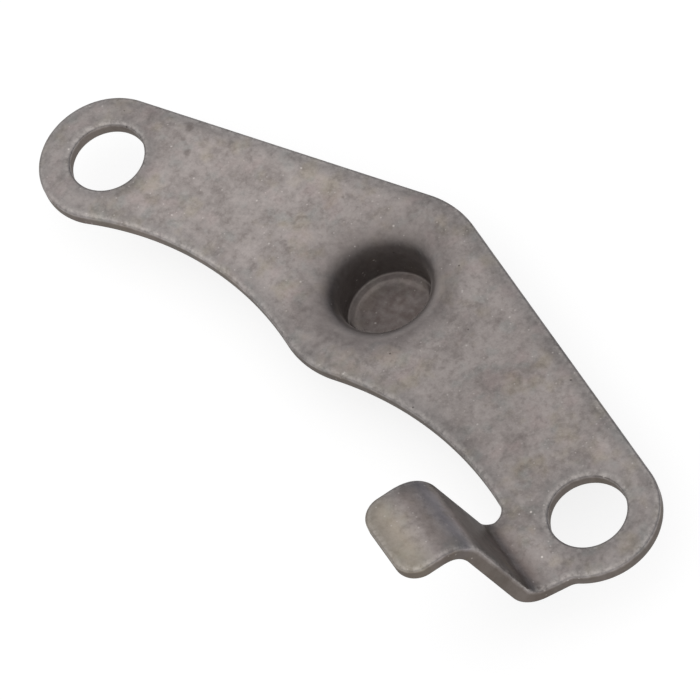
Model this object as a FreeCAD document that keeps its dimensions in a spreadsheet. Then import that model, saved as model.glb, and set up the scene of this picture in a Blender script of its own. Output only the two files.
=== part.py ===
import FreeCAD, Part
import math
import os
import Sketcher
from FreeCAD import Vector

# Idler gear plate: one blank of 1.5 mm sheet steel, pressed in a progressive tool. It is pierced
# with two bolt holes, drawn into a blind cup that takes the end of the idler shaft, and its small
# tab is bent up and over. Millimetres. The origin is midway between the two bolt holes on the
# mounting face, X runs from the left hole to the right one, Z is the way the cup's mouth opens.

SIZES = [
    ("sheet_thickness", 1.5, "thickness of the sheet"),
    ("hole_spacing", 58.3, "between the centres of the bolt holes"),
    ("hole_diameter", 6.6, "clearance hole for an M6 bolt"),
    ("end_radius", 6.1, "rounded ends, about the bolt holes"),
    ("cup_left", 0.5, "cup axis, left of the middle of the bolt holes"),
    ("cup_above", 5.25, "cup axis, above the line of the bolt holes"),
    ("boss_radius", 9.25, "outline about the cup, above and below it"),
    ("left_waist_radius", 30.8, "hollow lower edge, left of the cup"),
    ("right_waist_radius", 32.3, "hollow lower edge, right of the cup"),
    ("cup_bore", 8.0, "bore of the cup"),
    ("cup_wall", 1.25, "wall of the cup"),
    ("cup_depth", 4.9, "from the upper face to the cup's floor"),
    ("cup_floor", 1.4, "thickness of the floor"),
    ("mouth_radius", 1.8, "roll of the mouth into the bore"),
    ("dish_reach", 8.0, "where the upper face starts to draw down to the mouth"),
    ("dish_radius", 12.0, "curve of the drawn-down face"),
    ("shoulder_radius", 0.8, "outside, between the sheet and the cup"),
    ("cup_corner_radius", 1.4, "outside, round the closed end"),
    ("floor_bevel", 0.2, "inside, round the floor"),
    ("coin_diameter", 6.3, "disc coined into the floor"),
    ("coin_depth", 0.15, "depth of that disc"),
    ("tab_turn", 14.8, "bend line of the tab, turned from the line of the holes"),
    ("tab_reach", 7.45, "from the right hole to the valley of the lower bend"),
    ("tab_width", 8.1, "width of the tab"),
    ("tab_offset", 0.25, "middle of the tab's root, left of the right hole along the bend line"),
    ("tab_lean", 10.3, "lean of the tab between its bends, towards the cup"),
    ("bend_angle", 74.5, "of both bends"),
    ("lower_bend_radius", 1.2, "inside of the lower bend"),
    ("upper_bend_radius", 2.0, "inside of the upper bend"),
    ("tab_rise", 10.2, "from the upper face of the plate to that of the lug"),
    ("lug_length", 3.3, "flat length of the lug past the upper bend"),
    ("lug_corner_radius", 2.0, "corners of the lug"),
    ("notch_setback", 0.15, "straight side of the tab between its lower bend and the notch"),
    ("flank_radius", 1.5, "between the right end and the tab"),
    ("edge_radius", 0.3, "upper sheared edges after tumbling"),
    ("edge_bevel", 0.25, "lower sheared edges"),
    ("hole_bevel", 0.12, "both edges of the bolt holes"),
]

os.makedirs("parts", exist_ok=True)
doc = FreeCAD.newDocument("IdlerGearPlate")
sheet = doc.addObject("Spreadsheet::Sheet", "Sizes")
for row, (alias, value, note) in enumerate(SIZES, start=1):
    sheet.set(f"A{row}", note)
    sheet.set(f"B{row}", str(value))
    sheet.setAlias(f"B{row}", alias)
doc.recompute()

body = doc.addObject("PartDesign::Body", "Plate")
body.Label = "idler_gear_plate"


def size(alias):
    """A driving size, as a number."""
    return float(sheet.get(alias))


def origin_plane(role):
    """One of the body's own origin planes, such as XY_Plane."""
    return next(item for item in body.Origin.OriginFeatures if item.Role == role)


def new_sketch(name, role):
    """An empty sketch on one of the body's origin planes."""
    sketch = body.newObject("Sketcher::SketchObject", name)
    sketch.AttachmentSupport = [(origin_plane(role), "")]
    sketch.MapMode = "FlatFace"
    return sketch


def worth(expression):
    """What an expression of the driving sizes comes to, as a number of millimetres or degrees."""
    value = body.evalExpression(expression)
    return getattr(value, "Value", value)


def bind(sketch, kind, places, expression):
    """A dimension of a sketch, held to an expression of the driving sizes.

    The dimension starts at the value that the expression has now."""
    value = worth(expression)
    if kind == "Angle":
        value = math.radians(value)
    index = sketch.addConstraint(Sketcher.Constraint(kind, *places, value))
    sketch.setExpression(f"Constraints[{index}]", expression)


def line(sketch, start, end):
    """A straight edge."""
    return sketch.addGeometry(Part.LineSegment(start, end))


def arc(sketch, centre, start, end):
    """A round edge about a centre, anticlockwise from one point to the other."""
    radius = (start - centre).Length
    first = math.atan2(start.y - centre.y, start.x - centre.x)
    last = math.atan2(end.y - centre.y, end.x - centre.x)
    if last < first:
        last += 2 * math.pi
    circle = Part.Circle(centre, Vector(0, 0, 1), radius)
    return sketch.addGeometry(Part.ArcOfCircle(circle, first, last))


def meet(sketch, kind, *places):
    """Two edges that meet at an end: Tangent where they run on smoothly, else Coincident."""
    sketch.addConstraint(Sketcher.Constraint(kind, *places))


# Blank: the flat outline. Ends about the bolt holes and a boss about the cup are joined by straight
# upper edges and hollow lower ones. The tab leaves the right end square to its own bend line.
ALONG = Vector(math.cos(math.radians(size("tab_turn"))), -math.sin(math.radians(size("tab_turn"))), 0)
OUTWARD = Vector(ALONG.y, -ALONG.x, 0)
thickness = size("sheet_thickness")
bend = math.radians(size("bend_angle"))
bend_start = size("tab_reach") - size("lower_bend_radius") * math.tan(bend / 2)
end_radius = size("end_radius")
boss_radius = size("boss_radius")
left_end = Vector(-size("hole_spacing") / 2, 0, 0)
right_end = Vector(size("hole_spacing") / 2, 0, 0)
cup_axis = Vector(-size("cup_left"), size("cup_above"), 0)


def upper_tangent(left, left_radius, right, right_radius):
    """Where a straight edge touches two circles from above: its two ends."""
    run = right - left
    across = Vector(-run.y, run.x, 0).normalize()
    share = (left_radius - right_radius) / run.Length
    normal = Vector(run).normalize() * share + across * math.sqrt(1 - share ** 2)
    return left + normal * left_radius, right + normal * right_radius


def hollow_centre(left, left_radius, right, right_radius, radius):
    """Centre of the hollow arc that touches two circles from below."""
    run = right - left
    from_left = left_radius + radius
    from_right = right_radius + radius
    along = (from_left ** 2 - from_right ** 2 + run.Length ** 2) / (2 * run.Length)
    below = Vector(run.y, -run.x, 0).normalize()
    return left + Vector(run).normalize() * along + below * math.sqrt(from_left ** 2 - along ** 2)


def toward(centre, radius, target):
    """The point of a circle that faces a target."""
    return centre + (target - centre).normalize() * radius


left_waist = size("left_waist_radius")
right_waist = size("right_waist_radius")
left_hollow = hollow_centre(left_end, end_radius, cup_axis, boss_radius, left_waist)
right_hollow = hollow_centre(cup_axis, boss_radius, right_end, end_radius, right_waist)
left_low, left_high = upper_tangent(left_end, end_radius, cup_axis, boss_radius)
right_high, right_low = upper_tangent(cup_axis, boss_radius, right_end, end_radius)
bend_middle = right_end + OUTWARD * bend_start
outer_foot = bend_middle + ALONG * (size("tab_width") / 2 - size("tab_offset"))
inner_foot = bend_middle - ALONG * (size("tab_width") / 2 + size("tab_offset"))

# The flank's fillet touches the right end from outside. The notch touches the hollow edge from inside
# and ends at its setback, so its radius follows from where the hollow edge runs.
flank_radius = size("flank_radius")
flank_offset = outer_foot + ALONG * flank_radius - right_end
flank_run = flank_offset.dot(OUTWARD) - math.sqrt(
    flank_offset.dot(OUTWARD) ** 2 - flank_offset.Length ** 2 + (end_radius + flank_radius) ** 2)
flank_top = outer_foot - OUTWARD * flank_run
flank_centre = flank_top + ALONG * flank_radius
notch_foot = inner_foot - OUTWARD * size("notch_setback")
foot_offset = notch_foot - right_hollow
notch_radius = (right_waist ** 2 - foot_offset.Length ** 2) / 2 / (right_waist - foot_offset.dot(ALONG))
notch_centre = notch_foot - ALONG * notch_radius
notch_top = toward(right_hollow, right_waist, notch_centre)

outline = new_sketch("BlankOutline", "XY_Plane")
left_arc = arc(outline, left_end, left_low, toward(left_end, end_radius, left_hollow))
left_slope = line(outline, left_low, left_high)
boss_top = arc(outline, cup_axis, right_high, left_high)
right_slope = line(outline, right_high, right_low)
right_arc = arc(outline, right_end, toward(right_end, end_radius, flank_centre), right_low)
flank_arc = arc(outline, flank_centre, toward(right_end, end_radius, flank_centre), flank_top)
flank = line(outline, flank_top, outer_foot)
bend_edge = line(outline, outer_foot, inner_foot)
inner_flank = line(outline, inner_foot, notch_foot)
notch = arc(outline, notch_centre, notch_foot, notch_top)
right_arch = arc(outline, right_hollow, notch_top, toward(cup_axis, boss_radius, right_hollow))
boss_foot = arc(outline, cup_axis, toward(cup_axis, boss_radius, left_hollow),
                toward(cup_axis, boss_radius, right_hollow))
left_arch = arc(outline, left_hollow, toward(cup_axis, boss_radius, left_hollow),
                toward(left_end, end_radius, left_hollow))
tab_axis = line(outline, right_end, bend_middle)
outline.setConstruction(tab_axis, True)

meet(outline, "Tangent", left_arc, 1, left_slope, 1)
meet(outline, "Tangent", left_slope, 2, boss_top, 2)
meet(outline, "Tangent", boss_top, 1, right_slope, 1)
meet(outline, "Tangent", right_slope, 2, right_arc, 2)
meet(outline, "Tangent", right_arc, 1, flank_arc, 1)
meet(outline, "Tangent", flank_arc, 2, flank, 1)
meet(outline, "Coincident", flank, 2, bend_edge, 1)
meet(outline, "Coincident", bend_edge, 2, inner_flank, 1)
meet(outline, "Tangent", inner_flank, 2, notch, 1)
meet(outline, "Tangent", notch, 2, right_arch, 1)
meet(outline, "Tangent", right_arch, 2, boss_foot, 2)
meet(outline, "Tangent", boss_foot, 1, left_arch, 1)
meet(outline, "Tangent", left_arch, 2, left_arc, 2)
meet(outline, "Coincident", boss_top, 3, boss_foot, 3)
meet(outline, "Coincident", tab_axis, 1, right_arc, 3)
meet(outline, "PointOnObject", tab_axis, 2, bend_edge)
meet(outline, "Perpendicular", tab_axis, bend_edge)
meet(outline, "Parallel", flank, inner_flank)
meet(outline, "Tangent", right_arch, right_arc)
meet(outline, "Equal", left_arc, right_arc)
meet(outline, "Equal", boss_top, boss_foot)
meet(outline, "PointOnObject", left_arc, 3, -1)
meet(outline, "PointOnObject", right_arc, 3, -1)
bind(outline, "DistanceX", (left_arc, 3, -1, 1), "Sizes.hole_spacing / 2")
bind(outline, "DistanceX", (-1, 1, right_arc, 3), "Sizes.hole_spacing / 2")
bind(outline, "DistanceX", (boss_top, 3, -1, 1), "Sizes.cup_left")
bind(outline, "DistanceY", (-1, 1, boss_top, 3), "Sizes.cup_above")
bind(outline, "Radius", (left_arc,), "Sizes.end_radius")
bind(outline, "Radius", (boss_top,), "Sizes.boss_radius")
bind(outline, "Radius", (left_arch,), "Sizes.left_waist_radius")
bind(outline, "Radius", (right_arch,), "Sizes.right_waist_radius")
bind(outline, "Radius", (flank_arc,), "Sizes.flank_radius")
bind(outline, "Distance", (inner_flank,), "Sizes.notch_setback")
meet(outline, "Parallel", flank, tab_axis)
bind(outline, "Distance", (bend_edge, 1, tab_axis, 2), "Sizes.tab_width / 2 - Sizes.tab_offset")
bind(outline, "Distance", (tab_axis, 2, bend_edge, 2), "Sizes.tab_width / 2 + Sizes.tab_offset")
BEND_START = "Sizes.tab_reach - Sizes.lower_bend_radius * tan(Sizes.bend_angle / 2)"
bind(outline, "Distance", (tab_axis,), BEND_START)
bind(outline, "Angle", (tab_axis,), "-Sizes.tab_turn - 90")
doc.recompute()

blank = body.newObject("PartDesign::Pad", "Blank")
blank.Profile = outline
blank.setExpression("Length", "Sizes.sheet_thickness")
doc.recompute()


# Bolt holes: pierced through the two ends.
piercing = new_sketch("BoltCircles", "XY_Plane")
circles = [piercing.addGeometry(Part.Circle(centre, Vector(0, 0, 1), size("hole_diameter") / 2))
           for centre in (left_end, right_end)]
for circle in circles:
    meet(piercing, "PointOnObject", circle, 3, -1)
meet(piercing, "Equal", *circles)
bind(piercing, "DistanceX", (circles[0], 3, -1, 1), "Sizes.hole_spacing / 2")
bind(piercing, "DistanceX", (-1, 1, circles[1], 3), "Sizes.hole_spacing / 2")
bind(piercing, "Diameter", (circles[0],), "Sizes.hole_diameter")

holes = body.newObject("PartDesign::Pocket", "BoltHoles")
holes.Profile = piercing
holes.Type = "ThroughAll"
holes.Reversed = True
doc.recompute()


# Lug: the level end of the tab, drawn from above with X outward. It holds the tab's run between the
# bends, so its place comes from the bend angle, the two radii and the rise.
BENDS = "(Sizes.lower_bend_radius + Sizes.upper_bend_radius + Sizes.sheet_thickness)"
WEB_LENGTH = f"(Sizes.tab_rise - {BENDS} * (1 - cos(Sizes.bend_angle))) / sin(Sizes.bend_angle)"
LUG_REACH = f"({BEND_START} + {BENDS} * sin(Sizes.bend_angle) + {WEB_LENGTH} * cos(Sizes.bend_angle))"
LUG_OFFSET = f"(Sizes.tab_offset + {WEB_LENGTH} * tan(Sizes.tab_lean))"
half_width = size("tab_width") / 2
lug_radius = size("lug_corner_radius")
lug_tip = size("lug_length")

plan = new_sketch("LugOutline", "XY_Plane")
plan.AttachmentOffset = FreeCAD.Placement(Vector(1, 1, 1), FreeCAD.Rotation(Vector(0, 0, 1), -1))
plan.setExpression("AttachmentOffset.Base.x", "Sizes.hole_spacing / 2"
                   f" - {LUG_REACH} * sin(Sizes.tab_turn) - {LUG_OFFSET} * cos(Sizes.tab_turn)")
plan.setExpression("AttachmentOffset.Base.y",
                   f"{LUG_OFFSET} * sin(Sizes.tab_turn) - {LUG_REACH} * cos(Sizes.tab_turn)")
plan.setExpression("AttachmentOffset.Base.z", "Sizes.tab_rise")
plan.setExpression("AttachmentOffset.Rotation.Angle", "-Sizes.tab_turn - 90")
crest_edge = line(plan, Vector(0, half_width, 0), Vector(0, -half_width, 0))
left_side = line(plan, Vector(0, -half_width, 0), Vector(lug_tip - lug_radius, -half_width, 0))
left_corner = arc(plan, Vector(lug_tip - lug_radius, lug_radius - half_width, 0),
                  Vector(lug_tip - lug_radius, -half_width, 0), Vector(lug_tip, lug_radius - half_width, 0))
tip = line(plan, Vector(lug_tip, lug_radius - half_width, 0), Vector(lug_tip, half_width - lug_radius, 0))
right_corner = arc(plan, Vector(lug_tip - lug_radius, half_width - lug_radius, 0),
                   Vector(lug_tip, half_width - lug_radius, 0), Vector(lug_tip - lug_radius, half_width, 0))
right_side = line(plan, Vector(lug_tip - lug_radius, half_width, 0), Vector(0, half_width, 0))
meet(plan, "Coincident", crest_edge, 2, left_side, 1)
meet(plan, "Tangent", left_side, 2, left_corner, 1)
meet(plan, "Tangent", left_corner, 2, tip, 1)
meet(plan, "Tangent", tip, 2, right_corner, 1)
meet(plan, "Tangent", right_corner, 2, right_side, 1)
meet(plan, "Coincident", right_side, 2, crest_edge, 1)
meet(plan, "Horizontal", left_side)
meet(plan, "Horizontal", right_side)
meet(plan, "Vertical", tip)
meet(plan, "Equal", left_corner, right_corner)
meet(plan, "PointOnObject", crest_edge, 1, -2)
meet(plan, "Symmetric", crest_edge, 1, crest_edge, 2, -1)
bind(plan, "DistanceY", (crest_edge, 2, crest_edge, 1), "Sizes.tab_width")
bind(plan, "DistanceX", (-1, 1, tip, 1), "Sizes.lug_length")
bind(plan, "Radius", (left_corner,), "Sizes.lug_corner_radius")

lug = body.newObject("PartDesign::Pad", "Lug")
lug.Profile = plan
lug.setExpression("Length", "Sizes.sheet_thickness")
doc.recompute()


# Edges: the sheared edges of the blank and the lug. The bolt holes are deburred at both ends and the
# lower edges are broken to a bevel, then tumbling rounds the upper ones. The two edges that the bent
# strip joins stay square.
def rims(feature, levels, closed):
    """Names of the edges that lie at given heights along a face of the sheet.

    Closed ones go round a bolt hole, and the others follow the outline of the blank or the lug."""
    names = []
    for number, edge in enumerate(feature.Shape.Edges, start=1):
        middle = edge.valueAt((edge.FirstParameter + edge.LastParameter) / 2)
        outward = (middle - right_end).dot(OUTWARD)
        flat = abs(edge.tangentAt(edge.FirstParameter).z) < 1e-6
        joined = min(abs(outward - worth(BEND_START)), abs(outward - worth(LUG_REACH))) < 1e-4
        at_level = min(abs(middle.z - level) for level in levels) < 1e-6
        if flat and at_level and not joined and edge.isClosed() == closed:
            names.append(f"Edge{number}")
    return names


rise = size("tab_rise")
deburred = body.newObject("PartDesign::Chamfer", "DeburredHoles")
deburred.Base = (lug, rims(lug, (0, thickness), True))
deburred.setExpression("Size", "Sizes.hole_bevel")
doc.recompute()

broken = body.newObject("PartDesign::Chamfer", "BrokenEdges")
broken.Base = (deburred, rims(deburred, (0, rise), False))
broken.setExpression("Size", "Sizes.edge_bevel")
doc.recompute()

tumbled = body.newObject("PartDesign::Fillet", "TumbledEdges")
tumbled.Base = (broken, rims(broken, (thickness, rise + thickness), False))
tumbled.setExpression("Radius", "Sizes.edge_radius")
doc.recompute()


# Tab: bent up at the blank's bend edge and back level into the lug. Between the two bends it leans
# towards the cup. Its section has the same rounded and bevelled edges as the blank.
def tab_section(name, reach, offset, underside, axis_height):
    """A cross-section of the tab, and a line across the tab that its bend turns about.

    The section stands across the tab at a reach outward of the right bolt hole. Its X runs along
    the bend line, and the offset is that of its middle. All four are expressions."""
    sketch = new_sketch(name, "XZ_Plane")
    sketch.AttachmentOffset = FreeCAD.Placement(Vector(1, 0, 1), FreeCAD.Rotation(Vector(0, 1, 0), 1))
    sketch.setExpression("AttachmentOffset.Base.x",
                         f"Sizes.hole_spacing / 2 - {reach} * sin(Sizes.tab_turn)")
    sketch.setExpression("AttachmentOffset.Base.z", f"{reach} * cos(Sizes.tab_turn)")
    sketch.setExpression("AttachmentOffset.Rotation.Angle", "-Sizes.tab_turn")
    low = worth(underside)
    middle = -worth(offset)
    soft = size("edge_radius")
    bevel = size("edge_bevel")
    left = middle - half_width
    right = middle + half_width
    high = low + thickness
    bottom = line(sketch, Vector(left + bevel, low, 0), Vector(right - bevel, low, 0))
    right_bevel = line(sketch, Vector(right - bevel, low, 0), Vector(right, low + bevel, 0))
    right_edge = line(sketch, Vector(right, low + bevel, 0), Vector(right, high - soft, 0))
    right_round = arc(sketch, Vector(right - soft, high - soft, 0), Vector(right, high - soft, 0),
                      Vector(right - soft, high, 0))
    upper_face = line(sketch, Vector(right - soft, high, 0), Vector(left + soft, high, 0))
    left_round = arc(sketch, Vector(left + soft, high - soft, 0), Vector(left + soft, high, 0),
                     Vector(left, high - soft, 0))
    left_edge = line(sketch, Vector(left, high - soft, 0), Vector(left, low + bevel, 0))
    left_bevel = line(sketch, Vector(left, low + bevel, 0), Vector(left + bevel, low, 0))
    meet(sketch, "Coincident", bottom, 2, right_bevel, 1)
    meet(sketch, "Coincident", right_bevel, 2, right_edge, 1)
    meet(sketch, "Tangent", right_edge, 2, right_round, 1)
    meet(sketch, "Tangent", right_round, 2, upper_face, 1)
    meet(sketch, "Tangent", upper_face, 2, left_round, 1)
    meet(sketch, "Tangent", left_round, 2, left_edge, 1)
    meet(sketch, "Coincident", left_edge, 2, left_bevel, 1)
    meet(sketch, "Coincident", left_bevel, 2, bottom, 1)
    for level in (bottom, upper_face):
        meet(sketch, "Horizontal", level)
    for upright in (right_edge, left_edge):
        meet(sketch, "Vertical", upright)
    meet(sketch, "Equal", right_round, left_round)
    turning = worth(axis_height)
    bend_axis = line(sketch, Vector(left, turning, 0), Vector(middle, turning, 0))
    sketch.setConstruction(bend_axis, True)
    meet(sketch, "Horizontal", bend_axis)
    meet(sketch, "Vertical", left_edge, 1, bend_axis, 1)
    bind(sketch, "Radius", (right_round,), "Sizes.edge_radius")
    bind(sketch, "DistanceX", (bottom, 2, right_edge, 1), "Sizes.edge_bevel")
    bind(sketch, "DistanceY", (bottom, 2, right_edge, 1), "Sizes.edge_bevel")
    bind(sketch, "DistanceX", (left_edge, 2, bottom, 1), "Sizes.edge_bevel")
    bind(sketch, "DistanceY", (bottom, 1, left_edge, 2), "Sizes.edge_bevel")
    bind(sketch, "DistanceX", (left_edge, 1, -1, 1), f"Sizes.tab_width / 2 + {offset}")
    bind(sketch, "DistanceX", (left_edge, 1, right_edge, 1), "Sizes.tab_width")
    bind(sketch, "DistanceX", (bend_axis, 1, bend_axis, 2), "Sizes.tab_width / 2")
    bind(sketch, "DistanceY", (bottom, 1, upper_face, 1), "Sizes.sheet_thickness")
    bind(sketch, "DistanceY", (-1, 1, bend_axis, 1), axis_height)
    if low:
        bind(sketch, "DistanceY", (-1, 1, bottom, 1), underside)
    else:
        meet(sketch, "PointOnObject", bottom, 1, -1)
    doc.recompute()
    return sketch


def flat_end(shape, direction):
    """Name of the flat face that looks a given way, the farthest one along it."""
    ends = [(face.CenterOfMass.dot(direction), number) for number, face in enumerate(shape.Faces, start=1)
            if face.Surface.TypeId == "Part::GeomPlane" and face.normalAt(0, 0).dot(direction) > 1 - 1e-6]
    return f"Face{max(ends)[1]}"


root = tab_section("TabRoot", f"({BEND_START})", "Sizes.tab_offset", "0 mm",
                   "Sizes.sheet_thickness + Sizes.lower_bend_radius")
lower = body.newObject("PartDesign::Revolution", "LowerBend")
lower.Profile = root
lower.ReferenceAxis = (root, ["Axis0"])
lower.setExpression("Angle", "Sizes.bend_angle")
lower.Reversed = True
doc.recompute()

up_web = OUTWARD * math.cos(bend) + Vector(0, 0, math.sin(bend))
web = body.newObject("PartDesign::Pad", "Web")
web.Profile = (lower, [flat_end(lower.Shape, up_web)])
web.AlongSketchNormal = True
web.UseCustomVector = True
web.setExpression("Direction.x",
                  "-sin(Sizes.tab_turn) * cos(Sizes.bend_angle) - tan(Sizes.tab_lean) * cos(Sizes.tab_turn)")
web.setExpression("Direction.y",
                  "tan(Sizes.tab_lean) * sin(Sizes.tab_turn) - cos(Sizes.tab_turn) * cos(Sizes.bend_angle)")
web.setExpression("Direction.z", "sin(Sizes.bend_angle)")
web.setExpression("Length", WEB_LENGTH)
doc.recompute()

crest = tab_section("Crest", LUG_REACH, LUG_OFFSET, "Sizes.tab_rise",
                    "Sizes.tab_rise - Sizes.upper_bend_radius")
upper = body.newObject("PartDesign::Revolution", "UpperBend")
upper.Profile = crest
upper.ReferenceAxis = (crest, ["Axis0"])
upper.setExpression("Angle", "Sizes.bend_angle")
upper.Reversed = True
doc.recompute()


# Cup: drawn down from the sheet. Both sketches stand in an upright plane through the cup's axis,
# with X out from the axis: the shell is added first, then everything inside it is taken away.
def half_section(name):
    """An empty sketch through the cup's axis, its X radial and its Y along the axis."""
    sketch = new_sketch(name, "XZ_Plane")
    sketch.AttachmentOffset = FreeCAD.Placement(Vector(1, 0, 1), FreeCAD.Rotation())
    sketch.setExpression("AttachmentOffset.Base.x", "-Sizes.cup_left")
    sketch.setExpression("AttachmentOffset.Base.z", "-Sizes.cup_above")
    return sketch


bore_radius = size("cup_bore") / 2
outer_radius = bore_radius + size("cup_wall")
floor_level = thickness - size("cup_depth")
base_level = floor_level - size("cup_floor")
round_end = size("cup_corner_radius")
shoulder = size("shoulder_radius")
buried = thickness / 2

shell = half_section("CupShell")
shell_points = [Vector(0, base_level, 0), Vector(outer_radius - round_end, base_level, 0),
                Vector(outer_radius, base_level + round_end, 0), Vector(outer_radius, -shoulder, 0),
                Vector(outer_radius + shoulder, 0, 0), Vector(outer_radius + shoulder, buried, 0),
                Vector(0, buried, 0)]
base = line(shell, shell_points[0], shell_points[1])
round_arc = arc(shell, Vector(outer_radius - round_end, base_level + round_end, 0),
                shell_points[1], shell_points[2])
wall = line(shell, shell_points[2], shell_points[3])
shoulder_arc = arc(shell, Vector(outer_radius + shoulder, -shoulder, 0), shell_points[4], shell_points[3])
rim = line(shell, shell_points[4], shell_points[5])
top = line(shell, shell_points[5], shell_points[6])
core = line(shell, shell_points[6], shell_points[0])
meet(shell, "Tangent", base, 2, round_arc, 1)
meet(shell, "Tangent", round_arc, 2, wall, 1)
meet(shell, "Tangent", wall, 2, shoulder_arc, 2)
meet(shell, "Coincident", shoulder_arc, 1, rim, 1)
meet(shell, "Coincident", rim, 2, top, 1)
meet(shell, "Coincident", top, 2, core, 1)
meet(shell, "Coincident", core, 2, base, 1)
meet(shell, "Horizontal", base)
meet(shell, "Horizontal", top)
for upright in (wall, rim, core):
    meet(shell, "Vertical", upright)
meet(shell, "PointOnObject", core, 1, -2)
meet(shell, "PointOnObject", rim, 1, -1)
meet(shell, "Vertical", shoulder_arc, 3, shoulder_arc, 1)
bind(shell, "Radius", (round_arc,), "Sizes.cup_corner_radius")
bind(shell, "Radius", (shoulder_arc,), "Sizes.shoulder_radius")
bind(shell, "DistanceX", (-1, 1, wall, 1), "Sizes.cup_bore / 2 + Sizes.cup_wall")
bind(shell, "DistanceY", (core, 2, -1, 1), "Sizes.cup_depth + Sizes.cup_floor - Sizes.sheet_thickness")
bind(shell, "DistanceY", (-1, 1, rim, 2), "Sizes.sheet_thickness / 2")
doc.recompute()

drawn = body.newObject("PartDesign::Revolution", "Cup")
drawn.Profile = shell
drawn.ReferenceAxis = (shell, ["V_Axis"])
drawn.Angle = 360
doc.recompute()

# The mouth's roll touches the bore and the drawn-down face; that face's own curve ends level.
roll = size("mouth_radius")
dish_reach = size("dish_reach")
dish_radius = size("dish_radius")
roll_reach = bore_radius + roll
dish_centre = Vector(dish_reach, thickness - dish_radius, 0)
roll_level = dish_centre.y + math.sqrt((dish_radius - roll) ** 2 - (dish_reach - roll_reach) ** 2)
roll_centre = Vector(roll_reach, roll_level, 0)
lip = toward(dish_centre, dish_radius, roll_centre)
coin_radius = size("coin_diameter") / 2
coin_level = floor_level - size("coin_depth")
floor_bevel = size("floor_bevel")

inside = half_section("CupInside")
coin = line(inside, Vector(0, coin_level, 0), Vector(coin_radius, coin_level, 0))
step = line(inside, Vector(coin_radius, coin_level, 0), Vector(coin_radius, floor_level, 0))
ring = line(inside, Vector(coin_radius, floor_level, 0), Vector(bore_radius - floor_bevel, floor_level, 0))
floor_slope = line(inside, Vector(bore_radius - floor_bevel, floor_level, 0),
                   Vector(bore_radius, floor_level + floor_bevel, 0))
bore = line(inside, Vector(bore_radius, floor_level + floor_bevel, 0), Vector(bore_radius, roll_level, 0))
roll_arc = arc(inside, roll_centre, lip, Vector(bore_radius, roll_level, 0))
dish = arc(inside, dish_centre, Vector(dish_reach, thickness, 0), lip)
clear = line(inside, Vector(dish_reach, thickness, 0), Vector(dish_reach, thickness + roll, 0))
lid = line(inside, Vector(dish_reach, thickness + roll, 0), Vector(0, thickness + roll, 0))
middle = line(inside, Vector(0, thickness + roll, 0), Vector(0, coin_level, 0))
meet(inside, "Coincident", coin, 2, step, 1)
meet(inside, "Coincident", step, 2, ring, 1)
meet(inside, "Coincident", ring, 2, floor_slope, 1)
meet(inside, "Coincident", floor_slope, 2, bore, 1)
meet(inside, "Tangent", bore, 2, roll_arc, 2)
meet(inside, "Tangent", roll_arc, 1, dish, 2)
meet(inside, "Coincident", dish, 1, clear, 1)
meet(inside, "Coincident", clear, 2, lid, 1)
meet(inside, "Coincident", lid, 2, middle, 1)
meet(inside, "Coincident", middle, 2, coin, 1)
for level in (coin, ring, lid):
    meet(inside, "Horizontal", level)
for upright in (step, bore, clear, middle):
    meet(inside, "Vertical", upright)
meet(inside, "PointOnObject", middle, 1, -2)
meet(inside, "Vertical", dish, 3, dish, 1)
bind(inside, "DistanceX", (floor_slope, 1, floor_slope, 2), "Sizes.floor_bevel")
bind(inside, "DistanceY", (floor_slope, 1, floor_slope, 2), "Sizes.floor_bevel")
bind(inside, "Radius", (roll_arc,), "Sizes.mouth_radius")
bind(inside, "Radius", (dish,), "Sizes.dish_radius")
bind(inside, "DistanceX", (-1, 1, step, 1), "Sizes.coin_diameter / 2")
bind(inside, "DistanceX", (-1, 1, bore, 1), "Sizes.cup_bore / 2")
bind(inside, "DistanceX", (-1, 1, dish, 1), "Sizes.dish_reach")
bind(inside, "DistanceY", (-1, 1, dish, 1), "Sizes.sheet_thickness")
bind(inside, "DistanceY", (ring, 1, -1, 1), "Sizes.cup_depth - Sizes.sheet_thickness")
bind(inside, "DistanceY", (step, 1, step, 2), "Sizes.coin_depth")
bind(inside, "DistanceY", (clear, 1, clear, 2), "Sizes.mouth_radius")
doc.recompute()

hollow = body.newObject("PartDesign::Groove", "Bore")
hollow.Profile = inside
hollow.ReferenceAxis = (inside, ["V_Axis"])
hollow.Angle = 360
doc.recompute()


# Every feature has to be sound before the part is written.
for item in doc.Objects:
    if {"Invalid", "Error"} & set(item.State):
        raise RuntimeError(f"{item.Name} failed: {item.getStatusString()}")
shape = body.Shape
if shape.isNull() or not shape.isValid() or len(shape.Solids) != 1:
    raise RuntimeError("the plate is not one sound solid")
shape.exportStep("parts/idler_gear_plate.step")
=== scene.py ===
import math
import bpy
import numpy as np
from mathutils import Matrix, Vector
from mathutils.geometry import delaunay_2d_cdt


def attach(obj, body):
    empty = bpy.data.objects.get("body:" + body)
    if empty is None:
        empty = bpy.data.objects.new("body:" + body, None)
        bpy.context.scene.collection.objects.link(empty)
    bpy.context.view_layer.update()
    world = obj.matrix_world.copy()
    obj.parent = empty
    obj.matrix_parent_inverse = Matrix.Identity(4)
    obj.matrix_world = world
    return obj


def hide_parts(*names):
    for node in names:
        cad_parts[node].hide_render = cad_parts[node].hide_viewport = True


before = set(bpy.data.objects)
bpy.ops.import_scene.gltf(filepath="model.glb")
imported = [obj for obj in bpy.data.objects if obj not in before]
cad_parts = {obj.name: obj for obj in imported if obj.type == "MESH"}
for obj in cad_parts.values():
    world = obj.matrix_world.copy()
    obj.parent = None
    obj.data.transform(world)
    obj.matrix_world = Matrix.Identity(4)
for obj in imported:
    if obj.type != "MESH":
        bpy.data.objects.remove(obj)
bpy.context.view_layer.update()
scene = bpy.context.scene


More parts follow.
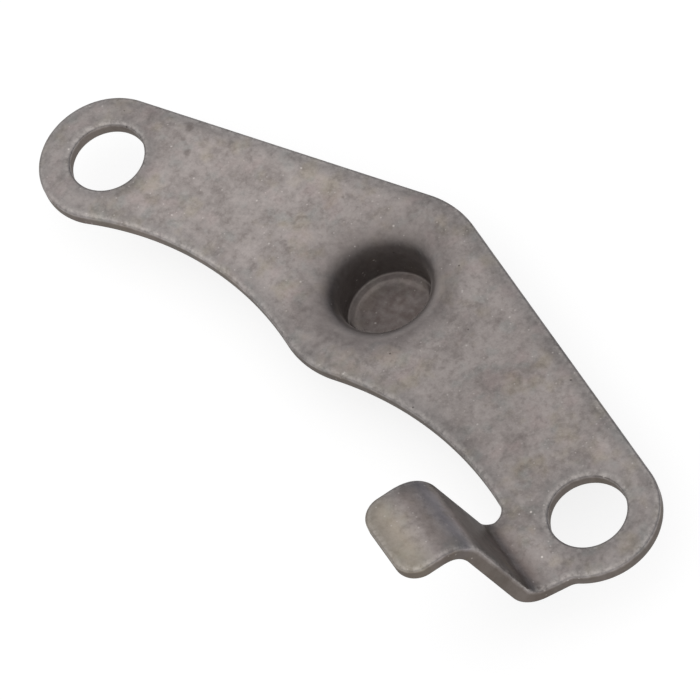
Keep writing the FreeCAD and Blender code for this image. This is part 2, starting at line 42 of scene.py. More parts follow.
# Blank: the plate as it was sheared, flat, from 1.5 mm sheet steel, in millimetres, with X from one
# bolt hole to the other. Two rounded ends and a boss are joined by straight upper edges and hollow
# lower ones, and the tab leaves the right end on a slant.
sheet = 1.5
half_spacing = 29.15
end_radius = 6.095
boss_radius = 9.24
hollow_radii = (30.8, 32.3)
left_end = np.array([-half_spacing, 0.0])
right_end = np.array([half_spacing, 0.0])
cup_axis = np.array([-0.5, 5.25])


def tangent_normal(left, left_radius, right, right_radius):
    """Unit normal of the line that touches two circles from above: its share along the line of
    centres is the difference of the radii over the distance."""
    run = (right - left) / np.linalg.norm(right - left)
    share = (left_radius - right_radius) / np.linalg.norm(right - left)
    return share * run + math.sqrt(1 - share ** 2) * np.array([-run[1], run[0]])


def touching_centre(first, first_distance, second, second_distance, side):
    """The point at given distances from two others, where two circles cross; side picks which.

    Along their line it lies at the first distance squared less the second squared plus the span
    squared, over twice the span."""
    run = second - first
    span = np.linalg.norm(run)
    run = run / span
    share = (first_distance ** 2 - second_distance ** 2 + span ** 2) / (2 * span)
    sideways = side * math.sqrt(first_distance ** 2 - share ** 2)
    return first + share * run + sideways * np.array([-run[1], run[0]])


def bearing(centre, point):
    """Angle of a point as seen from a centre."""
    return math.atan2(point[1] - centre[1], point[0] - centre[0])


def arc_run(centre, radius, start, end, swing, step=0.25):
    """Points and outward normals of an arc between two bearings: the centre plus the radius times
    the spoke at equal angles. A swing of 1 turns left, with the material inside the circle, and -1
    turns right, with the material outside it."""
    sweep = (end - start) % (2 * math.pi) if swing > 0 else -((start - end) % (2 * math.pi))
    count = max(4, int(math.ceil(abs(sweep) * radius / step)))
    angle = start + sweep * np.arange(count) / count
    spoke = np.stack([np.cos(angle), np.sin(angle)], 1)
    return centre + radius * spoke, swing * spoke


def straight_run(start, end, step=0.25):
    """Points and outward normals of a straight edge, at equal shares of its run, with the material
    on its left."""
    run = end - start
    count = max(2, int(math.ceil(np.linalg.norm(run) / step)))
    share = np.arange(count)[:, None] / count
    normal = np.array([run[1], -run[0]]) / np.linalg.norm(run)
    return start + share * run, np.broadcast_to(normal, (count, 2))


# Tab: an arm of the same blank, measured in the flat from the bend line at the plate's right end.
# Two bends of one angle have a straight web between them and a level lug beyond. Its sides slant,
# and it leaves the plate on a notch at its left and a small flank at its right.
tab_turn = math.radians(14.8)
bend_angle = math.radians(74.3)
lower_radius = 1.22
upper_radius = 2.02
web_length = 7.0
lug_length = 3.28
lug_corner = 2.0
blend_radius = 9.0
flank_radius = 1.45
notch_radius = 1.4
side_left = -3.96
side_right = 4.10
slant = -0.14
along = np.array([math.cos(tab_turn), -math.sin(tab_turn)])
outward = np.array([along[1], -along[0]])
slant_way = slant * along + outward
slant_way = slant_way / np.linalg.norm(slant_way)

# The sharp corner of the lower bend would lie 7.43 mm from the bolt hole, and nothing but the tab
# lies outward of the bend line within 9 mm of its middle.
bend_corner = 7.43
tab_strip = 9.0
bend_reach = bend_corner - lower_radius * math.tan(bend_angle / 2)
lower_run = (lower_radius + sheet / 2) * bend_angle
upper_run = (upper_radius + sheet / 2) * bend_angle
lean_run = lower_run + web_length + upper_run / 2
tip_run = lower_run + web_length + upper_run + lug_length


def in_tab(across, run):
    """A flat point from its place along the bend line and its run outward of it."""
    return right_end + across * along + (bend_reach + run) * outward


def arc_beside_tab(across, side, radius, circle, circle_distance):
    """Centre of the arc that touches a slanting side of the tab, and the point where they touch.

    It lies at its radius from the side's line and at a given distance from the centre of a circle of
    the outline, which are the two roots of a quadratic. Side is 1 at the tab's right and -1 at its
    left, and picks the root too."""
    off = side * np.array([-slant_way[1], slant_way[0]])
    start = in_tab(across, 0.0) + radius * off - circle
    half = start @ slant_way
    root = math.sqrt(half ** 2 - start @ start + circle_distance ** 2)
    centre = start + circle + slant_way * (side * root - half)
    return centre, centre - radius * off


left_hollow = touching_centre(left_end, end_radius + hollow_radii[0],
                              cup_axis, boss_radius + hollow_radii[0], -1)
right_hollow = touching_centre(cup_axis, boss_radius + hollow_radii[1],
                               right_end, end_radius + hollow_radii[1], -1)
left_rise = tangent_normal(left_end, end_radius, cup_axis, boss_radius)
right_fall = tangent_normal(cup_axis, boss_radius, right_end, end_radius)

flank_centre, flank_touch = arc_beside_tab(side_right, 1, flank_radius,
                                           right_end, end_radius + flank_radius)
notch_centre, notch_touch = arc_beside_tab(side_left, -1, notch_radius,
                                           right_hollow, hollow_radii[1] - notch_radius)
lug_left = side_left + slant * lean_run
lug_right = side_right + slant * lean_run


origin = np.zeros(2)


def rounded_turn(corner, before, after, radius, step=0.12):
    """The arc that rounds a corner between two headings, then its two ends.

    It starts and ends at radius times tan(turn / 2) from the corner."""
    turn = math.atan2(before[0] * after[1] - before[1] * after[0], before @ after)
    swing = 1 if turn > 0 else -1
    setback = radius * math.tan(abs(turn) / 2)
    left = np.array([-before[1], before[0]])
    start = bearing(origin, -swing * left)
    centre = corner - setback * before + swing * radius * left
    return (arc_run(centre, radius, start, start + turn, swing, step),
            corner - setback * before, corner + setback * after)


left_blend, left_blend_start, left_blend_end = rounded_turn(
    in_tab(lug_left, lean_run), slant_way, outward, blend_radius)
right_blend, right_blend_start, right_blend_end = rounded_turn(
    in_tab(lug_right, lean_run), -outward, -slant_way, blend_radius)
near_corner, near_start, near_end = rounded_turn(in_tab(lug_left, tip_run), outward, along, lug_corner)
far_corner, far_start, far_end = rounded_turn(in_tab(lug_right, tip_run), along, -outward, lug_corner)
runs = [
    arc_run(left_end, end_radius, bearing(origin, left_rise), bearing(left_end, left_hollow), 1),
    arc_run(left_hollow, hollow_radii[0], bearing(left_hollow, left_end),
            bearing(left_hollow, cup_axis), -1),
    arc_run(cup_axis, boss_radius, bearing(cup_axis, left_hollow), bearing(cup_axis, right_hollow), 1),
    arc_run(right_hollow, hollow_radii[1], bearing(right_hollow, cup_axis),
            bearing(right_hollow, notch_centre), -1),
    arc_run(notch_centre, notch_radius, bearing(right_hollow, notch_centre),
            bearing(notch_centre, notch_touch), -1, 0.1),
    straight_run(notch_touch, left_blend_start, 0.15),
    left_blend,
    straight_run(left_blend_end, near_start, 0.15),
    near_corner,
    straight_run(near_end, far_start, 0.2),
    far_corner,
    straight_run(far_end, right_blend_start, 0.15),
    right_blend,
    straight_run(right_blend_end, flank_touch, 0.15),
    arc_run(flank_centre, flank_radius, bearing(flank_centre, flank_touch),
            bearing(flank_centre, right_end), -1, 0.12),
    arc_run(right_end, end_radius, bearing(right_end, flank_centre), bearing(origin, right_fall), 1),
    straight_run(right_end + end_radius * right_fall, cup_axis + boss_radius * right_fall),
    arc_run(cup_axis, boss_radius, bearing(origin, right_fall), bearing(origin, left_rise), 1),
    straight_run(cup_axis + boss_radius * left_rise, left_end + end_radius * left_rise),
]
outline = np.concatenate([points for points, normals in runs])
outline_normals = np.concatenate([normals for points, normals in runs])


def bent(flat, height):
    """Carries the flat blank into its bent shape: flat points and their heights in the sheet.

    Outward of the bend line a point runs round the lower bend, straight up the web, back round the
    upper bend and out along the lug. Each part adds its own travel, which is zero before it starts.
    Only the strip round the tab is bent."""
    offset = flat - right_end
    across = offset @ along
    reach = offset @ outward
    run = np.where(np.abs(across) < tab_strip, reach - bend_reach, 0.0)
    turn = np.clip(run / (lower_radius + sheet / 2), 0, bend_angle)
    up_web = np.clip(run - lower_run, 0, web_length)
    back = np.clip((run - lower_run - web_length) / (upper_radius + sheet / 2), 0, bend_angle)
    level = np.clip(run - lower_run - web_length - upper_run, 0, None)
    lower_outside = lower_radius + sheet - height
    heading = bend_angle - back
    travel = (lower_outside * np.sin(turn) + up_web * math.cos(bend_angle)
              + (upper_radius + height) * (math.sin(bend_angle) - np.sin(heading)) + level)
    rise = (lower_outside * (1 - np.cos(turn)) + up_web * math.sin(bend_angle)
            + (upper_radius + height) * (np.cos(heading) - math.cos(bend_angle)))
    travel = np.where(run > 0, travel + bend_reach, reach)
    plan = right_end + across[:, None] * along + travel[:, None] * outward
    return np.column_stack([plan, height + rise])


# Sheared edge: the shears draw the upper face down a little beside it, and tumbling has rounded
# both of its corners. The section runs from the upper face over the edge, down the side and under
# to the lower face, and is carried round the outline and the holes.
draw_reach = 1.15
draw_drop = 0.10
draw_count = 5
upper_wide = 0.28
upper_deep = 0.19
side_count = 4
lower_round = 0.32
quarter = np.radians(np.linspace(0, 90, 8))
edge_inset = np.concatenate([np.linspace(draw_reach, upper_wide, draw_count + 1)[:-1],
                             upper_wide * (1 - np.sin(quarter)), np.zeros(side_count),
                             lower_round * (1 - np.sin(quarter[::-1]))])
edge_drop = draw_drop * (1 - edge_inset[:draw_count + len(quarter)] / draw_reach) ** 2
edge_drop[draw_count:] += upper_deep * (1 - np.cos(quarter))
edge_height = np.concatenate([sheet - edge_drop,
                              np.linspace(sheet - edge_drop[-1], lower_round, side_count + 2)[1:-1],
                              lower_round * (1 - np.cos(quarter[::-1]))])

# How far each point of that section lies from the middle of the upper rounding, along the skin:
# more than nothing on the upper face, less than nothing down the side and on the lower face.
edge_run = np.concatenate([[0], np.cumsum(np.hypot(np.diff(edge_inset), np.diff(edge_height)))])
edge_rim = edge_run[draw_count + len(quarter) // 2] - edge_run


def sheared_edge(points, normals):
    """The edge's section carried along a closed run of points, as a grid of flat points and heights.

    A grid point lies at the run's point less its normal times the section's inset."""
    flat = points[:, None] - normals[:, None] * edge_inset[None, :, None]
    height = np.broadcast_to(edge_height, flat.shape[:2])
    return flat.reshape(-1, 2), height.reshape(-1)


def ring_quads(first, around, across):
    """Faces of a closed grid whose first vertex has the given number: around it and across it.

    They look outward where the run goes anticlockwise and the section goes down."""
    i = np.arange(around)[:, None]
    j = np.arange(across - 1)[None, :]
    here = first + i * across + j
    there = first + (i + 1) % around * across + j
    return np.stack([here, here + 1, there + 1, there], -1).reshape(-1, 4)


hole_radius = 3.3
hole_count = 96
hole_angle = -2 * np.pi * np.arange(hole_count) / hole_count
hole_spoke = np.stack([np.cos(hole_angle), np.sin(hole_angle)], 1)
edge_runs = [(outline, outline_normals)]
edge_runs += [(centre + hole_radius * hole_spoke, -hole_spoke) for centre in (left_end, right_end)]


# Cup: drawn down from the sheet, with a wide dished mouth, a straight bore and a floor with a
# shallow coined disc. Outside, the sheet turns into the cup on a small shoulder.
dish_reach = 8.0
dish_radius = 12.0
roll_radius = 1.8
bore_radius = 4.0
floor_level = -3.4
floor_round = 0.2
coin_radius = 3.15
coin_ease = 0.26
coin_depth = 0.15
cup_outside = 5.25
shoulder_radius = 0.8
base_level = -4.8
base_round = 1.4
cup_count = 180


def arc_of(centre, radius, start, end, count):
    """Points of a profile's arc between two bearings in degrees, radius out and height up: the
    centre plus the radius times the cosine and sine of equal angles."""
    angle = np.radians(np.linspace(start, end, count))
    return np.stack([centre[0] + radius * np.cos(angle), centre[1] + radius * np.sin(angle)], 1)


def line_of(start, end, count):
    """Points of a straight stretch of a profile, at equal shares of it, without its ends."""
    share = np.linspace(0, 1, count + 2)[1:-1, None]
    return np.array(start) + share * (np.array(end) - np.array(start))


dish_centre = np.array([dish_reach, sheet - dish_radius])
roll_centre = np.array([bore_radius + roll_radius, 0.0])
roll_centre[1] = dish_centre[1] + math.sqrt((dish_radius - roll_radius) ** 2
                                            - (dish_reach - roll_centre[0]) ** 2)
roll_start = math.degrees(bearing(dish_centre, roll_centre))
ease = np.linspace(0, 1, 9)
coin_step = np.stack([coin_radius + coin_ease * (1 - 2 * ease),
                      floor_level - coin_depth * ease ** 2 * (3 - 2 * ease)], 1)
inside = np.concatenate([
    arc_of(dish_centre, dish_radius, 90, roll_start, 14),
    arc_of(roll_centre, roll_radius, roll_start, 180, 16)[1:],
    line_of((bore_radius, roll_centre[1]), (bore_radius, floor_level + floor_round), 8),
    arc_of((bore_radius - floor_round, floor_level + floor_round), floor_round, 0, -90, 6),
    line_of((bore_radius - floor_round, floor_level), (coin_radius + coin_ease, floor_level), 3),
    coin_step,
    line_of((coin_radius - coin_ease, floor_level - coin_depth), (0.0, floor_level - coin_depth), 9),
])
outside = np.concatenate([
    arc_of((cup_outside + shoulder_radius, -shoulder_radius), shoulder_radius, 90, 180, 8),
    line_of((cup_outside, -shoulder_radius), (cup_outside, base_level + base_round), 4),
    arc_of((cup_outside - base_round, base_level + base_round), base_round, 0, -90, 10),
    line_of((cup_outside - base_round, base_level), (0.0, base_level), 10),
])


def turned_about_cup(profile, clockwise):
    """A profile turned about the cup's axis: at equal angles, the axis plus the profile's radius
    times the spoke, at the profile's height. Each angle's points follow one another."""
    angle = (-1 if clockwise else 1) * 2 * np.pi * np.arange(cup_count) / cup_count
    spoke = np.stack([np.cos(angle), np.sin(angle)], 1)
    plan = cup_axis + spoke[:, None] * profile[None, :, :1]
    height = np.broadcast_to(profile[:, 1], plan.shape[:2])
    return np.concatenate([plan, height[..., None]], -1).reshape(-1, 3)


def inside_of(points, loop):
    """Whether points lie inside a closed loop: a ray to the right crosses it an odd number of times."""
    x, y = points[:, :1], points[:, 1:]
    ahead = np.roll(loop, -1, 0)
    straddles = (loop[:, 1] > y) != (ahead[:, 1] > y)
    with np.errstate(divide="ignore", invalid="ignore"):
        crossing = loop[:, 0] + (y - loop[:, 1]) / (ahead[:, 1] - loop[:, 1]) * (ahead[:, 0] - loop[:, 0])
    return (straddles & (x < crossing)).sum(1) % 2 == 1


def distance_to(points, loop):
    """Distance from each point to the nearest vertex of a loop, taken a slice of points at a time."""
    return np.concatenate([np.sqrt(((part[:, None] - loop[None]) ** 2).sum(2).min(1))
                           for part in np.array_split(points, 40)])


def lattice(step, low, high):
    """Points of a triangular lattice over a box: rows at half the root of three times the step, and
    every other row moved along by half a step."""
    x = np.arange(low[0], high[0], step)
    y = np.arange(low[1], high[1], step * math.sqrt(3) / 2)
    grid = np.stack(np.meshgrid(x, y), -1)
    grid[1::2, :, 0] += step / 2
    return grid.reshape(-1, 2)


fine_step = 0.24
fine_box = ((18, -27), (40, -5))
fine_start = -0.5
coarse_step = 0.6
coarse_box = ((-36, -8), (36, 16))
coarse_end = -0.7
outline_clearance = 0.16
hole_clearance = 0.2


def flat_face(loops):
    """One flat side of the blank, between its outline and its round holes, as triangles.

    A coarse lattice fills the plate and a fine one the tab, which is bent afterwards. They meet a
    little inward of the bend line. Returns their points, and triangles over the loops' points
    followed by them."""
    fine = lattice(fine_step, *fine_box)
    run = (fine - right_end) @ outward - bend_reach
    fine = fine[(run > fine_start) & (np.abs((fine - right_end) @ along) < tab_strip)]
    coarse = lattice(coarse_step, *coarse_box)
    run = (coarse - right_end) @ outward - bend_reach
    coarse = coarse[(run < coarse_end) | (np.abs((coarse - right_end) @ along) > tab_strip)]
    extra = np.concatenate([fine, coarse])
    clear = inside_of(extra, loops[0]) & (distance_to(extra, loops[0]) > outline_clearance)
    for loop in loops[1:]:
        clear &= ~inside_of(extra, loop) & (distance_to(extra, loop) > hole_clearance)
    extra = extra[clear]
    points = np.concatenate(loops + [extra])
    starts = np.cumsum([0] + [len(loop) for loop in loops])
    edges = np.concatenate([np.stack([np.arange(n), np.roll(np.arange(n), -1)], 1) + at
                            for n, at in zip(map(len, loops), starts)])
    found = delaunay_2d_cdt([Vector(p) for p in points.tolist()], edges.tolist(), [], 1, 1e-7)
    order = np.array([source[0] for source in found[3]])
    triangles = order[np.array(found[2])]
    for loop in loops[1:]:
        triangles = triangles[~inside_of(points[triangles].mean(1), loop)]
    return extra, triangles


# Plate: all of that joined into one closed skin, because the real one is a single pressing. Each
# point keeps, in millimetres, how far it is from the sheared edge, where tumbling has rubbed nicks of
# bright metal and where shade is painted, and how far out along the tab it lies, where painted shade and a
# painted sheen follow the bends.
off_tab = -9.0


def rim_of(points, upward):
    """Distance along the skin from the middle of the upper rounding, for points of either flat side."""
    away = np.min([distance_to(points, run) for run, normals in edge_runs], 0)
    return edge_rim[0] + away - draw_reach if upward else edge_rim[-1] + lower_round - away


def tab_reach(flat):
    """How far flat points lie outward of the lower bend's line, or a fixed value away from the tab."""
    offset = flat - right_end
    return np.where(np.abs(offset @ along) < tab_strip, offset @ outward - bend_reach, off_tab)


section_count = len(edge_inset)
skin, rims, reaches, faces, top_loops, bottom_loops = [], [], [], [], [], []
count = 0
for points, normals in edge_runs:
    flat, height = sheared_edge(points, normals)
    faces.append(ring_quads(count, len(points), section_count))
    rows = np.arange(len(points)) * section_count
    top_loops.append((count + rows, flat[rows]))
    bottom_loops.append((count + rows + section_count - 1, flat[rows + section_count - 1]))
    skin.append(bent(flat, height))
    rims.append(np.tile(edge_rim, len(points)))
    reaches.append(tab_reach(flat))
    count += len(flat)

for profile, loops, clockwise in ((inside, top_loops, True), (outside, bottom_loops, False)):
    grid = turned_about_cup(profile, clockwise)
    across = len(profile)
    faces.append(ring_quads(count, cup_count, across))
    rows = np.arange(cup_count) * across
    loops.append((count + rows, grid[rows, :2]))
    skin.append(np.concatenate([grid, [[*cup_axis, profile[-1, 1]]]]))
    rims.append(rim_of(skin[-1][:, :2], clockwise))
    reaches.append(tab_reach(skin[-1][:, :2]))
    last = count + rows + across - 1
    count += len(grid)
    faces.append(np.stack([last, np.full(cup_count, count), np.roll(last, -1)], 1))
    count += 1

for loops, height, upward in ((top_loops, sheet, True), (bottom_loops, 0.0, False)):
    extra, triangles = flat_face([flat for rows, flat in loops])
    numbers = np.concatenate([rows for rows, flat in loops] + [count + np.arange(len(extra))])
    triangles = numbers[triangles]
    faces.append(triangles if upward else triangles[:, ::-1])
    skin.append(bent(extra, np.full(len(extra), height)))
    rims.append(rim_of(extra, upward))
    reaches.append(tab_reach(extra))
    count += len(extra)

mesh = bpy.data.meshes.new("pressed_plate")
mesh.from_pydata((np.concatenate(skin) * 0.001).tolist(), [],
                 [face for part in faces for face in part.tolist()])
for name, parts in (("rim", rims), ("reach", reaches)):
    mesh.attributes.new(name, "FLOAT", "POINT").data.foreach_set("value", np.concatenate(parts))
mesh.shade_smooth()
plate = bpy.data.objects.new("pressed_plate", mesh)
scene.collection.objects.link(plate)


# Finish of the plate: cold-rolled sheet steel, tumbled after pressing. That leaves a matt warm grey,
# mottled in pinkish and greenish patches, with a fine grain, nicks of bright metal and small pits.
# Shade and highlights of the cup, the bends, the edges and along the length are painted into the colour
# too.
def srgb(code):
    """A colour written as six hex digits, turned to linear light."""
    value = np.array([int(code[k:k + 2], 16) for k in (0, 2, 4)]) / 255
    linear = np.where(value <= 0.04045, value / 12.92, ((value + 0.055) / 1.055) ** 2.4)
    return (*linear.tolist(), 1.0)


def add(kind, values=(), out=0, **settings):
    """Adds a node to the material at hand and returns one of its outputs.

    Values go to its inputs in order, or by name: a number or colour is set, an output is linked."""
    node = tree.nodes.new(kind)
    for name, value in settings.items():
        setattr(node, name, value)
    for key, value in values.items() if isinstance(values, dict) else enumerate(values):
        if isinstance(value, bpy.types.NodeSocket):
            tree.links.new(value, node.inputs[key])
        else:
            node.inputs[key].default_value = value
    return node.outputs[out]


steel = bpy.data.materials.new("tumbled_sheet_steel")
steel.use_nodes = True
tree = steel.node_tree
tree.nodes.clear()
place = add("ShaderNodeTexCoord", out="Object")

# Patches of tone, as a size in millimetres, detail, roughness, the two levels of the noise between
# which they come up, how strong they get, and their colour. The real grain is some hundredths of a
# millimetre, too fine to show, so the last two rows draw it at 0.34 mm.
patches = (
    (7.5, 2.0, 0.5, 0.36, 0.64, 1.0, "958e8b"),
    (3.2, 3.0, 0.55, 0.42, 0.62, 0.55, "aaa29f"),
    (3.2, 3.0, 0.55, 0.46, 0.30, 0.5, "877f7c"),
    (2.6, 2.0, 0.5, 0.54, 0.68, 0.28, "a1967c"),
    (1.9, 2.0, 0.5, 0.57, 0.68, 0.18, "869492"),
    (2.3, 2.0, 0.5, 0.56, 0.70, 0.20, "a88f8d"),
    (1.15, 4.0, 0.6, 0.48, 0.30, 0.42, "6f6763"),
    (1.15, 4.0, 0.6, 0.52, 0.68, 0.26, "b0a8a5"),
    (0.62, 2.0, 0.5, 0.44, 0.33, 0.19, "5f5754"),
    (0.62, 2.0, 0.5, 0.55, 0.68, 0.16, "bab2ad"),
    (0.34, 3.0, 0.6, 0.50, 0.72, 0.19, "c4bcb8"),
    (0.34, 3.0, 0.6, 0.46, 0.30, 0.19, "665f5c"),
)
colour = srgb("9e9693")
noise = {}
for size, detail, roughness, low, high, most, tint in patches:
    if size not in noise:
        noise[size] = add("ShaderNodeTexNoise", {"Vector": place, "Scale": 1000 / size, "Detail": detail,
                                                 "Roughness": roughness})
    share = add("ShaderNodeMapRange", (noise[size], low, high, 0.0, most))
    colour = add("ShaderNodeMix", {0: share, 6: colour, 7: srgb(tint)}, 2, data_type="RGBA")
soft, mottle, grain = noise[3.2], noise[1.15], noise[0.34]

# Where things are: distance from the cup's axis and from the sheared edge and reach along the tab, in
# millimetres, all three let wander a little so that no mark has a drawn edge.
from_axis = add("ShaderNodeVectorMath", (place, (cup_axis[0] * 0.001, cup_axis[1] * 0.001, 0.0)),
                operation="SUBTRACT")
from_axis = add("ShaderNodeVectorMath", (from_axis, (1000.0, 1000.0, 0.0)), operation="MULTIPLY")
to_right = add("ShaderNodeVectorMath", (from_axis, (0.92, -0.39, 0.0)), "Value", operation="DOT_PRODUCT")
from_axis = add("ShaderNodeVectorMath", (from_axis,), "Value", operation="LENGTH")
height = add("ShaderNodeSeparateXYZ", (place,), "Z")
height = add("ShaderNodeMath", (height, 1000.0), operation="MULTIPLY")
lengthwise = add("ShaderNodeSeparateXYZ", (place,), "X")
lengthwise = add("ShaderNodeMath", (lengthwise, 1000.0), operation="MULTIPLY")
rim = add("ShaderNodeAttribute", out="Fac", attribute_name="rim")
reach = add("ShaderNodeAttribute", out="Fac", attribute_name="reach")
sway = add("ShaderNodeMath", (mottle, -0.5), operation="ADD")

# The painted shade on the roll of the mouth reaches less far out at the right.
roll = add("ShaderNodeMath", (add("ShaderNodeMapRange", (to_right, -1.5, 2.5, 0.0, 1.5)), from_axis),
           operation="ADD")
dish = add("ShaderNodeMath", (sway, 1.2, from_axis), operation="MULTIPLY_ADD")
bend = add("ShaderNodeMath", (sway, 1.0, reach), operation="MULTIPLY_ADD")
edge = add("ShaderNodeMath", (sway, 0.35, rim), operation="MULTIPLY_ADD")

# Inside the bore the steel is duller and darker brown, most in the middle of the floor.
bore = add("ShaderNodeMath", (add("ShaderNodeMapRange", (height, 0.9, -0.2)),
                              add("ShaderNodeMapRange", (from_axis, 4.5, 4.2))), operation="MULTIPLY")
share = add("ShaderNodeMapRange", (dish, 3.3, 2.2, 0.24, 0.44))
share = add("ShaderNodeMath", (share, add("ShaderNodeMapRange", (noise[0.62], 0.35, 0.65, 1.5, 0.5))),
            operation="MULTIPLY")
share = add("ShaderNodeMath", (bore, share), operation="MULTIPLY")
colour = add("ShaderNodeMix", {0: share, 6: colour, 7: srgb("5d4840")}, 2, data_type="RGBA")

# Painted bands, as a place, the two values between which they come up, the two between which they go
# again, how strong they get, and their colour: painted shade on the dish and on the roll of the cup's
# mouth, painted highlights on two rings round its floor, painted shade in the lower bend and on the web, a
# painted sheen and then painted shade on the upper bend, a paler tone on the lug, painted grey-blue shade
# beside the sheared edge and painted shade down its side and under it.
shade_highlight_and_tone_bands = (
    (dish, 8.2, 5.8, 0.0, -9.0, 0.42, "716a68"),
    (roll, 5.7, 4.2, 4.0, 3.8, 0.62, "38322f"),
    (from_axis, 3.78, 3.86, 3.90, 3.98, 0.24, "a8a09b"),
    (dish, 3.00, 3.20, 3.26, 3.46, 0.20, "aaa19b"),
    (bend, -1.0, 0.4, 1.0, 2.0, 0.44, "5a4a42"),
    (bend, 2.8, 6.0, 9.0, 11.2, 0.26, "5d524c"),
    (bend, 10.3, 11.0, 11.3, 12.1, 0.40, "85848e"),
    (bend, 11.8, 12.3, 12.7, 13.7, 0.40, "6c615c"),
    (bend, 13.2, 14.6, 99.0, 100.0, 0.36, "b3a68c"),
    (edge, 1.7, 0.45, 0.0, -0.3, 0.30, "575b5d"),
    (edge, -0.06, -0.36, -99.0, -100.0, 0.74, "5a524b"),
)
for value, start, full, hold, end, most, tint in shade_highlight_and_tone_bands:
    comes = add("ShaderNodeMapRange", (value, start, full, 0.0, most))
    goes = add("ShaderNodeMapRange", (value, end, hold, 0.0, most))
    share = add("ShaderNodeMath", (comes, goes), operation="MINIMUM")
    colour = add("ShaderNodeMix", {0: share, 6: colour, 7: srgb(tint)}, 2, data_type="RGBA")

# A painted highlight on the mouth at its right.
comes = add("ShaderNodeMath", (add("ShaderNodeMapRange", (from_axis, 5.7, 4.8)),
                               add("ShaderNodeMapRange", (to_right, 0.0, 3.0, 0.0, 0.6))),
            operation="MULTIPLY")
share = add("ShaderNodeMath", (comes, add("ShaderNodeMapRange", (from_axis, 4.0, 4.2))),
            operation="MULTIPLY")
colour = add("ShaderNodeMix", {0: share, 6: colour, 7: srgb("bdb4af")}, 2, data_type="RGBA")

# Single nicks and stains, as a place and a radius in millimetres, a strength and a colour.
single = (
    (29.15, -5.39, 1.5, 0.13, 0.85, "e8e2dc"),
    (25.47, -2.91, 1.5, 0.11, 0.70, "e0d9d3"),
    (-0.45, 2.75, -3.55, 0.16, 0.85, "2c2623"),
    (-25.19, 6.49, 1.3, 0.55, 0.55, "5a524e"),
    (-23.51, 4.47, 1.5, 0.42, 0.42, "5a524e"),
    (-24.82, 5.26, 1.5, 0.30, 0.36, "5a524e"),
    (-9.08, 9.42, 1.5, 0.20, 0.35, "58504c"),
)
for x, y, z, radius, most, tint in single:
    away = add("ShaderNodeVectorMath", (place, (x * 0.001, y * 0.001, z * 0.001)), "Value",
               operation="DISTANCE")
    away = add("ShaderNodeMath", (sway, 0.0012 * radius, away), operation="MULTIPLY_ADD")
    share = add("ShaderNodeMapRange", (away, radius * 0.001, radius * 0.0004, 0.0, most))
    colour = add("ShaderNodeMix", {0: share, 6: colour, 7: srgb(tint)}, 2, data_type="RGBA")

# Nicks of bright metal along the upper sheared edge.
broken = add("ShaderNodeTexNoise", {"Vector": place, "Scale": 1000 / 0.4, "Detail": 3.0, "Roughness": 0.7})
broken = add("ShaderNodeMapRange", (broken, 0.36, 0.62))
comes = add("ShaderNodeMapRange", (edge, 0.62, 0.20))
goes = add("ShaderNodeMapRange", (edge, -0.16, -0.02))
rubbed = add("ShaderNodeMath", (comes, goes), operation="MULTIPLY")
rubbed = add("ShaderNodeMath", (rubbed, broken), operation="MULTIPLY")
share = add("ShaderNodeMath", (rubbed, 0.26), operation="MULTIPLY")
colour = add("ShaderNodeMix", {0: share, 6: colour, 7: srgb("d3cdc8")}, 2, data_type="RGBA")

# Nicks and pits all over, one to a cell of a pattern: the cell's width in millimetres, the dot's
# inner and outer radius in cell widths, the share of cells that have one, its strength, its rise and
# its colour. Relief gathers the heights for the bump, in steps of 0.06 mm.
relief = add("ShaderNodeMath", (grain, 0.4, mottle), operation="MULTIPLY_ADD")
relief = add("ShaderNodeMath", (soft, 1.2, relief), operation="MULTIPLY_ADD")
dots = (
    (0.55, 0.05, 0.18, 0.30, 0.36, 0.30, "dcd5d0"),
    (1.0, 0.03, 0.13, 0.20, 0.50, 0.35, "e2dcd7"),
    (1.7, 0.02, 0.08, 0.20, 0.50, 0.35, "e2dcd7"),
    (1.3, 0.03, 0.09, 0.14, 0.70, -0.80, "453f3b"),
)
for cell, inner, outer, filled, most, rise, tint in dots:
    cells = add("ShaderNodeTexVoronoi", {"Vector": place, "Scale": 1000 / cell}).node.outputs
    chance = add("ShaderNodeSeparateColor", (cells["Color"],))
    chosen = add("ShaderNodeMapRange", (chance, 1 - filled, 1.01 - filled))
    dot = add("ShaderNodeMath", (add("ShaderNodeMapRange", (cells["Distance"], outer, inner)), chosen),
              operation="MULTIPLY")
    share = add("ShaderNodeMath", (dot, most), operation="MULTIPLY")
    colour = add("ShaderNodeMix", {0: share, 6: colour, 7: srgb(tint)}, 2, data_type="RGBA")
    relief = add("ShaderNodeMath", (dot, rise, relief), operation="MULTIPLY_ADD")

# Painted light along the length: the left arm is painted palest and the right arm darkest, a level at
# three spans of the length.
painted_light_stretches = ((-27.0, -21.0, 0.93, 1.0), (-15.0, -3.0, 1.25, 1.0), (20.0, 28.0, 0.96, 1.04))
for left, right, at_left, at_right in painted_light_stretches:
    tone = add("ShaderNodeMapRange", (lengthwise, left, right, at_left, at_right))
    colour = add("ShaderNodeVectorMath", {0: colour, "Scale": tone}, operation="SCALE")

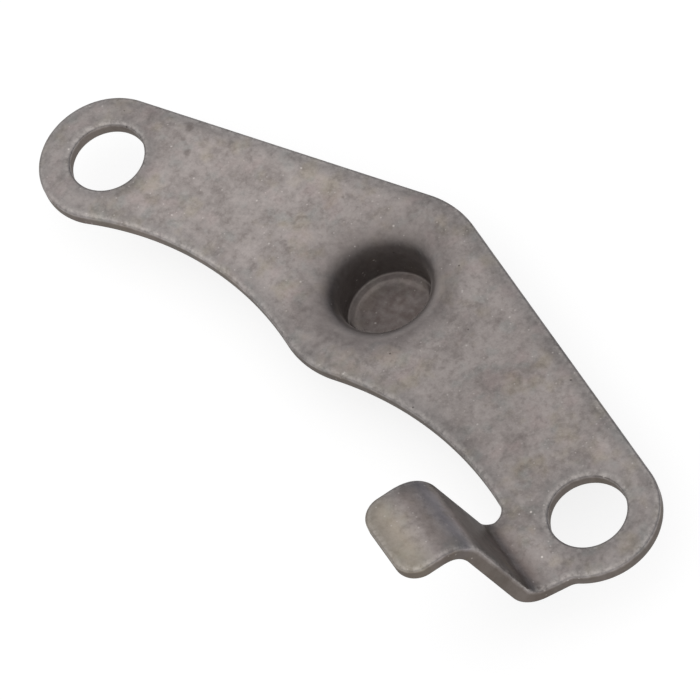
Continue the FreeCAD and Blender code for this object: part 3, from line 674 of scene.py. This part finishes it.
# Rubbed nicks are smoother, and the inside of the bore is rougher and less metal. The tumbled grain keeps
# the steel from turning mirror-bright at a slant, so its tint there is lowered.
rough = add("ShaderNodeMapRange", (soft, 0.3, 0.7, 0.50, 0.43))
rough = add("ShaderNodeMath", (rubbed, -0.12, rough), operation="MULTIPLY_ADD")
rough = add("ShaderNodeMath", (bore, 0.12, rough), operation="MULTIPLY_ADD")
metal = add("ShaderNodeMath", (bore, -0.65, 1.0), operation="MULTIPLY_ADD")
bump = add("ShaderNodeBump", {"Strength": 0.5, "Distance": 0.00006, "Height": relief})
shader = add("ShaderNodeBsdfPrincipled", {"Base Color": colour, "Metallic": metal, "Roughness": rough,
                                          "Specular Tint": (0.6, 0.6, 0.6, 1.0), "Normal": bump})
output = tree.nodes.new("ShaderNodeOutputMaterial")
tree.links.new(shader, output.inputs["Surface"])
mesh.materials.append(steel)
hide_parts("idler_gear_plate")
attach(plate, "root")


# Floor: a plain pale sheet of paper that the cup's closed end stands on, with a hair of air between
# them. Where the camera or the metal sees it, it is lifted to the photograph's white, and the
# plate's own shadow stays on it.
floor_half = 3.0
floor_gap = 0.05
floor_level_m = (base_level - floor_gap) * 0.001
corners = ((-1, -1), (1, -1), (1, 1), (-1, 1))
floor_mesh = bpy.data.meshes.new("floor")
floor_mesh.from_pydata([(floor_half * x, floor_half * y, floor_level_m) for x, y in corners],
                       [], [(0, 1, 2, 3)])
floor = bpy.data.objects.new("floor", floor_mesh)
scene.collection.objects.link(floor)
paper = bpy.data.materials.new("pale_backdrop_paper")
paper.use_nodes = True
tree = paper.node_tree
tree.nodes.clear()
rays = add("ShaderNodeLightPath").node.outputs
seen = add("ShaderNodeMath", (rays["Is Camera Ray"], rays["Is Glossy Ray"]), operation="MAXIMUM")
seen = add("ShaderNodeMath", (seen, rays["Is Transmission Ray"]), operation="MAXIMUM")
matt = add("ShaderNodeBsdfDiffuse", (srgb("909090"),))
lift = add("ShaderNodeEmission", {"Strength": add("ShaderNodeMath", (seen, 0.80), operation="MULTIPLY")})
output = tree.nodes.new("ShaderNodeOutputMaterial")
tree.links.new(add("ShaderNodeAddShader", (matt, lift)), output.inputs["Surface"])
floor_mesh.materials.append(paper)


# Light: one broad soft source overhead, a little to the near side, in a dim cool room. Its level
# falls with the angle from the middle of the source.
world = bpy.data.worlds.new("studio")
scene.world = world
world.use_nodes = True
tree = world.node_tree
tree.nodes.clear()
overhead = (0.0, -0.2, 0.98)
source = (1.20, 1.19, 1.18, 1.0)
room = (0.20, 0.215, 0.25, 1.0)
toward = add("ShaderNodeTexCoord", out="Generated")
facing = add("ShaderNodeVectorMath", (toward, overhead), "Value", operation="DOT_PRODUCT")
share = add("ShaderNodeMapRange", (facing, -0.05, 1.0))
glow = add("ShaderNodeMix", {0: share, 6: room, 7: source}, 2, data_type="RGBA")
output = tree.nodes.new("ShaderNodeOutputWorld")
tree.links.new(add("ShaderNodeBackground", (glow,)), output.inputs["Surface"])


# Camera: the photograph's own view, from the right and above. Its lens is long, so the plate's near
# and far ends keep almost the same scale.
camera_data = bpy.data.cameras.new("camera")
camera_data.sensor_width = 36.0
camera_data.lens = 364.855
camera_data.clip_end = 10
camera = bpy.data.objects.new("camera", camera_data)
camera.location = (0.308757, -0.134323, 0.487671)
camera.rotation_euler = [math.radians(angle) for angle in (31.7811, 14.2421, 44.8408)]
scene.collection.objects.link(camera)
scene.camera = camera
scene.view_settings.view_transform = "Standard"
